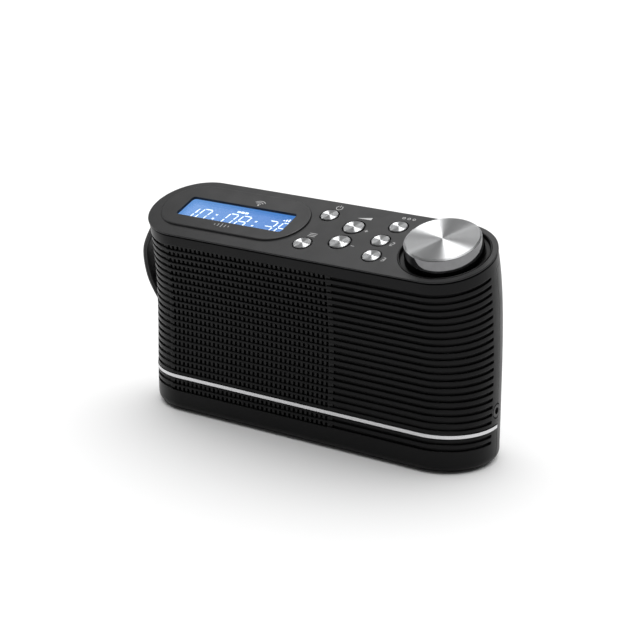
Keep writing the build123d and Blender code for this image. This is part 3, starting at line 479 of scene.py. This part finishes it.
icons = bmesh.new()
for number in range(4):  # signal strength, at the right
    left = window_left + window_width - 7.5 + 1.5 * number
    add_block(icons, left, 4.6, 0.9, 0.9 + 0.7 * number)
for number in range(3):  # a row of short bars, at the middle
    add_block(icons, display_x - 3.4 + 2.5 * number, 4.9, 2.0, 1.5)
make_piece("display_icons", icons, "segment_light")

# the printed marks: generic signs in place of words
MARK_LINE = 0.36
PANEL_FACE = 0.005  # where ink stands on the top panel
BEZEL_FACE = 0.905  # where it stands on the display's surround
RING = (0, 359.9)  # a whole turn, with the hair's breadth open that keeps its outline simple
marks = bmesh.new()


def mark(outline, height=PANEL_FACE):
    """Print one outline on the top."""
    add_plate(marks, outline, height, height + INK)


def beside(node, dx, du):
    """A place beside a round piece's axis, in mm on the top."""
    x, u = axis_on_top(node)
    return x + dx, u + du


x, u = beside("power_button", 1.5, 7.9)  # the power sign: an open ring and an upright
mark(arc_band((x, u), 1.8, MARK_LINE, 120, 420))
mark(bar((x, u + 0.3), (x, u + 2.3), MARK_LINE))
x, u = beside("menu_button", -1.2, 7.0)
for row in range(3):  # three lines for the menu
    mark(bar((x, u + 1.3 * row), (x + 4.6, u + 1.3 * row), MARK_LINE))
x, u = beside("volume_up_button", -2.6, 8.4)  # a rising wedge for the volume
mark([(x, u), (x + 8.0, u), (x + 8.0, u + 2.2)])
SIGN_REACH = 1.1  # of the plus and the minus
for button in ("volume_up_button", "volume_down_button"):
    x, u = beside(button, 8.3, -1.4)
    mark(bar((x - SIGN_REACH, u), (x + SIGN_REACH, u), MARK_LINE))
    if button == "volume_up_button":
        mark(bar((x, u - SIGN_REACH), (x, u + SIGN_REACH), MARK_LINE), PANEL_FACE + 0.001)
x, u = beside("preset_one_button", -1.4, 8.4)
for number in range(3):  # three rings for the presets
    mark(arc_band((x + 3.0 * number, u), 0.75, MARK_LINE, *RING))
for value, button in (("1", "preset_one_button"), ("2", "preset_two_button"), ("3", "preset_three_button")):
    x, u = beside(button, 6.6, -2.6)
    for start, end in figure_strokes(value, x, u, 1.5, 2.8, 0.12, 0.0):
        mark(bar(start, end, MARK_LINE))
x, u = beside("lcd_bezel", 9.0, 9.3)
for ring in range(3):  # arcs spreading from a dot, above the display
    mark(arc_band((x, u), 1.3 + 1.3 * ring, MARK_LINE, 35, 145), BEZEL_FACE)
mark(arc_band((x, u), 0.3, 0.59, *RING), BEZEL_FACE)
first_x, u = beside("lcd_bezel", -4.0, -13.6)
for number in range(5):  # a row of short bars below it, the middle one longest
    x = first_x + 2.2 * number
    reach = 0.7 + 0.55 * (2 - abs(number - 2))
    mark(bar((x, u - reach), (x, u + reach), MARK_LINE), BEZEL_FACE)
make_piece("panel_marks", marks, "mark_ink")

# the strap: a band with rounded edges and a fine ridge along each, between the two pins
STRAP_ROUTE = (  # (x, z) in mm
    (-93.5, 103.5), (-98.6, 102.6), (-103.4, 98.9), (-110.2, 86.8), (-111.7, 78.5),
    (-109.5, 67.3), (-104.5, 58.0), (-98.6, 50.6), (-93.5, 45.0),
)
STRAP_THICK = 3.1
EDGE_ROUND = 0.7
CORNER_STEPS = 4
RIDGE = 0.35  # how far the ridge along each edge stands out
RIDGE_SHAPE = ((0, 0.35), (RIDGE, 0.2), (RIDGE, -0.2), (0, -0.35))  # (out from the edge, through the strap)
ROUTE_STEPS = 10


def strap_section(width):
    """(across, thick) points of the strap's section, in mm, anticlockwise."""
    half, side = width / 2 - RIDGE, STRAP_THICK / 2
    points = []
    corners = ((half - EDGE_ROUND, side - EDGE_ROUND, 0), (-half + EDGE_ROUND, side - EDGE_ROUND, 90),
               (-half + EDGE_ROUND, -side + EDGE_ROUND, 180), (half - EDGE_ROUND, -side + EDGE_ROUND, 270))
    for across, thick, start in corners:
        for step in range(CORNER_STEPS + 1):
            angle = math.radians(start + 90 * step / CORNER_STEPS)
            points.append((across + EDGE_ROUND * math.cos(angle), thick + EDGE_ROUND * math.sin(angle)))
        if start in (90, 270):
            sign = -1 if start == 90 else 1
            points += [(sign * (half + out), -sign * thick) for out, thick in RIDGE_SHAPE]
    return points


def between(before, start, end, after, share):
    """A Catmull-Rom curve's value at a share of the way from start to end."""
    slope = end - before
    bend = 2 * before - 5 * start + 4 * end - after
    twist = 3 * start - before - 3 * end + after
    return 0.5 * (2 * start + slope * share + bend * share**2 + twist * share**3)


def smooth_route(points, steps):
    """Points along a Catmull-Rom curve through the given (x, z) points."""
    padded = [points[0], *points, points[-1]]
    route = []
    for four_points in zip(padded, padded[1:], padded[2:], padded[3:]):
        for step in range(steps):
            route.append(Vector(between(*values, step / steps) for values in zip(*four_points)))
    return route + [Vector(points[-1])]


strap_low, strap_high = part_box("strap")
strap_middle = (strap_low.y + strap_high.y) / 2
section = strap_section((strap_high.y - strap_low.y) / MM)
route = smooth_route(STRAP_ROUTE, ROUTE_STEPS)
strap_builder = bmesh.new()
loops = []
for index, point in enumerate(route):
    forward = heading(route, index)
    normal = Vector((-forward.y, forward.x))
    loops.append([
        strap_builder.verts.new((
            MM * (point.x + normal.x * thick), strap_middle + MM * across, MM * (point.y + normal.y * thick)
        ))
        for across, thick in section
    ])
skin(strap_builder, loops)
strap_piece = make_piece("strap_band", strap_builder, "strap_rubber", smooth=True)
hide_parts("strap")

# the battery contacts: a conical coil of wire for each cell, at the two ends in turn
CELLS = 4
WIRE = 0.35
COIL_TURNS = 4
TURN_STEPS = 20
COIL_LENGTH = 4.2
COIL_FOOT, COIL_TIP = 4.2, 2.7  # radii
COIL_EDGE = 4.6  # from the end of the contacts' box to the outermost coil's axis


def add_wire(builder, path, radius, sides=8):
    """A round wire along a path of points, closed at both ends."""
    loops = []
    for index, point in enumerate(path):
        forward = heading(path, index)
        side = forward.cross(RIGHT).normalized()
        up = side.cross(forward)
        loops.append([
            builder.verts.new(point + radius * (math.cos(a) * side + math.sin(a) * up))
            for a in (math.tau * k / sides for k in range(sides))
        ])
    skin(builder, loops)


coil_low, coil_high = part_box("battery_springs")
coil_middle = (coil_low + coil_high) / 2 / MM
coil_rise = (coil_high.z - coil_low.z) / MM / 2 - COIL_EDGE
coil_builder = bmesh.new()
for number in range(CELLS):
    middle_number = (CELLS - 1) / 2
    coil_z = coil_middle.z + coil_rise * (number - middle_number) / middle_number
    start_x, inward = (coil_low.x / MM, 1) if number % 2 == 0 else (coil_high.x / MM, -1)
    path = []
    for step in range(COIL_TURNS * TURN_STEPS + 1):
        share = step / (COIL_TURNS * TURN_STEPS)
        angle = math.tau * COIL_TURNS * share
        radius = COIL_FOOT + (COIL_TIP - COIL_FOOT) * share
        path.append(MM * Vector((
            start_x + inward * (WIRE + COIL_LENGTH * share),
            coil_middle.y + radius * math.cos(angle), coil_z + radius * math.sin(angle),
        )))
    add_wire(coil_builder, path, WIRE * MM)
coils = make_piece("battery_coils", coil_builder, "steel", smooth=True)
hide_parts("battery_springs")

# ---- the studio ----

FLOOR_REACH = 6.0  # from the middle of the floor to its edge, in metres
floor_builder = bmesh.new()
bmesh.ops.create_grid(floor_builder, x_segments=8, y_segments=8, size=FLOOR_REACH)
floor_mesh = bpy.data.meshes.new("studio_floor")
floor_builder.to_mesh(floor_mesh)
floor_builder.free()
floor_mesh.materials.append(backdrop("studio_floor", (0.86, 0.86, 0.86)))
floor = bpy.data.objects.new("studio_floor", floor_mesh)
bpy.context.scene.collection.objects.link(floor)

LOOK_AT = Vector((3.04, -7.15, 61.52)) * MM
CAMERA_DISTANCE = 901.4 * MM
AZIMUTH, ELEVATION = math.radians(32.72), math.radians(19.01)
FOCAL_LENGTH, SENSOR_WIDTH = 96.68, 36.0  # in mm
towards_camera = Vector((
    math.sin(AZIMUTH) * math.cos(ELEVATION), -math.cos(AZIMUTH) * math.cos(ELEVATION), math.sin(ELEVATION),
))
camera_data = bpy.data.cameras.new("camera")
camera_data.lens = FOCAL_LENGTH
camera_data.sensor_width = SENSOR_WIDTH
camera = bpy.data.objects.new("camera", camera_data)
camera.location = LOOK_AT + towards_camera * CAMERA_DISTANCE
camera.rotation_euler = (-towards_camera).to_track_quat("-Z", "Y").to_euler()
bpy.context.scene.collection.objects.link(camera)
bpy.context.scene.camera = camera


# the softboxes light the radio only, and the floor has a broad even light of its own
radio_only = bpy.data.collections.new("radio_only")
floor_only = bpy.data.collections.new("floor_only")
for piece in bpy.context.scene.objects:
    if piece.type == "MESH":
        (floor_only if piece == floor else radio_only).objects.link(piece)


def softbox(name, direction, distance, width, height, power, turn=0.0):
    """A rectangular light that faces the radio from a direction, turned about it: sizes in m, power in W."""
    lamp = bpy.data.lights.new(name, "AREA")
    lamp.shape = "RECTANGLE"
    lamp.size, lamp.size_y = width, height
    lamp.energy = power
    holder = bpy.data.objects.new(name, lamp)
    away = Vector(direction).normalized()
    holder.location = LOOK_AT + away * distance
    facing = away.to_track_quat("Z", "Y")
    facing.rotate(Quaternion(away, math.radians(turn)))
    holder.rotation_euler = facing.to_euler()
    holder.light_linking.receiver_collection = radio_only
    bpy.context.scene.collection.objects.link(holder)


softbox("key_overhead", (0.03, 0.03, 1.0), 1.3, 0.3, 0.8, 16, turn=53)
softbox("back_left", (-0.4, 0.6, 0.72), 1.6, 0.9, 0.6, 3.0)
softbox("side_left", (-1.0, -0.1, 0.35), 1.2, 0.35, 0.8, 2.0)
softbox("side_right", (1.0, 0.25, 0.3), 1.3, 0.35, 0.9, 0.5)

floor_sun = bpy.data.lights.new("floor_sun", "SUN")
floor_sun.energy = 4.0
floor_sun.angle = math.radians(100)
sun = bpy.data.objects.new("floor_sun", floor_sun)
sun.rotation_euler = (math.radians(-20), math.radians(-6), 0)
bpy.context.scene.collection.objects.link(sun)
sun.light_linking.receiver_collection = floor_only

# the camera sees a white room, and everything else is lit by a dim one
ROOM_FILL = 0.16
world = bpy.data.worlds.new("studio")
bpy.context.scene.world = world
world.use_nodes = True
world_tree = world.node_tree
world_tree.nodes.clear()
seen = add_node(world_tree, "Background", inputs={"Color": (1, 1, 1, 1), "Strength": 1.0})
fill = add_node(world_tree, "Background", inputs={"Color": (1, 1, 1, 1), "Strength": ROOM_FILL})
direct = add_node(world_tree, "LightPath").outputs["Is Camera Ray"]
inputs = {0: direct, 1: fill.outputs["Background"], 2: seen.outputs["Background"]}
mixed = add_node(world_tree, "MixShader", inputs=inputs)
add_node(world_tree, "OutputWorld", inputs={"Surface": mixed.outputs["Shader"]})

bpy.context.scene.view_settings.view_transform = "Standard"
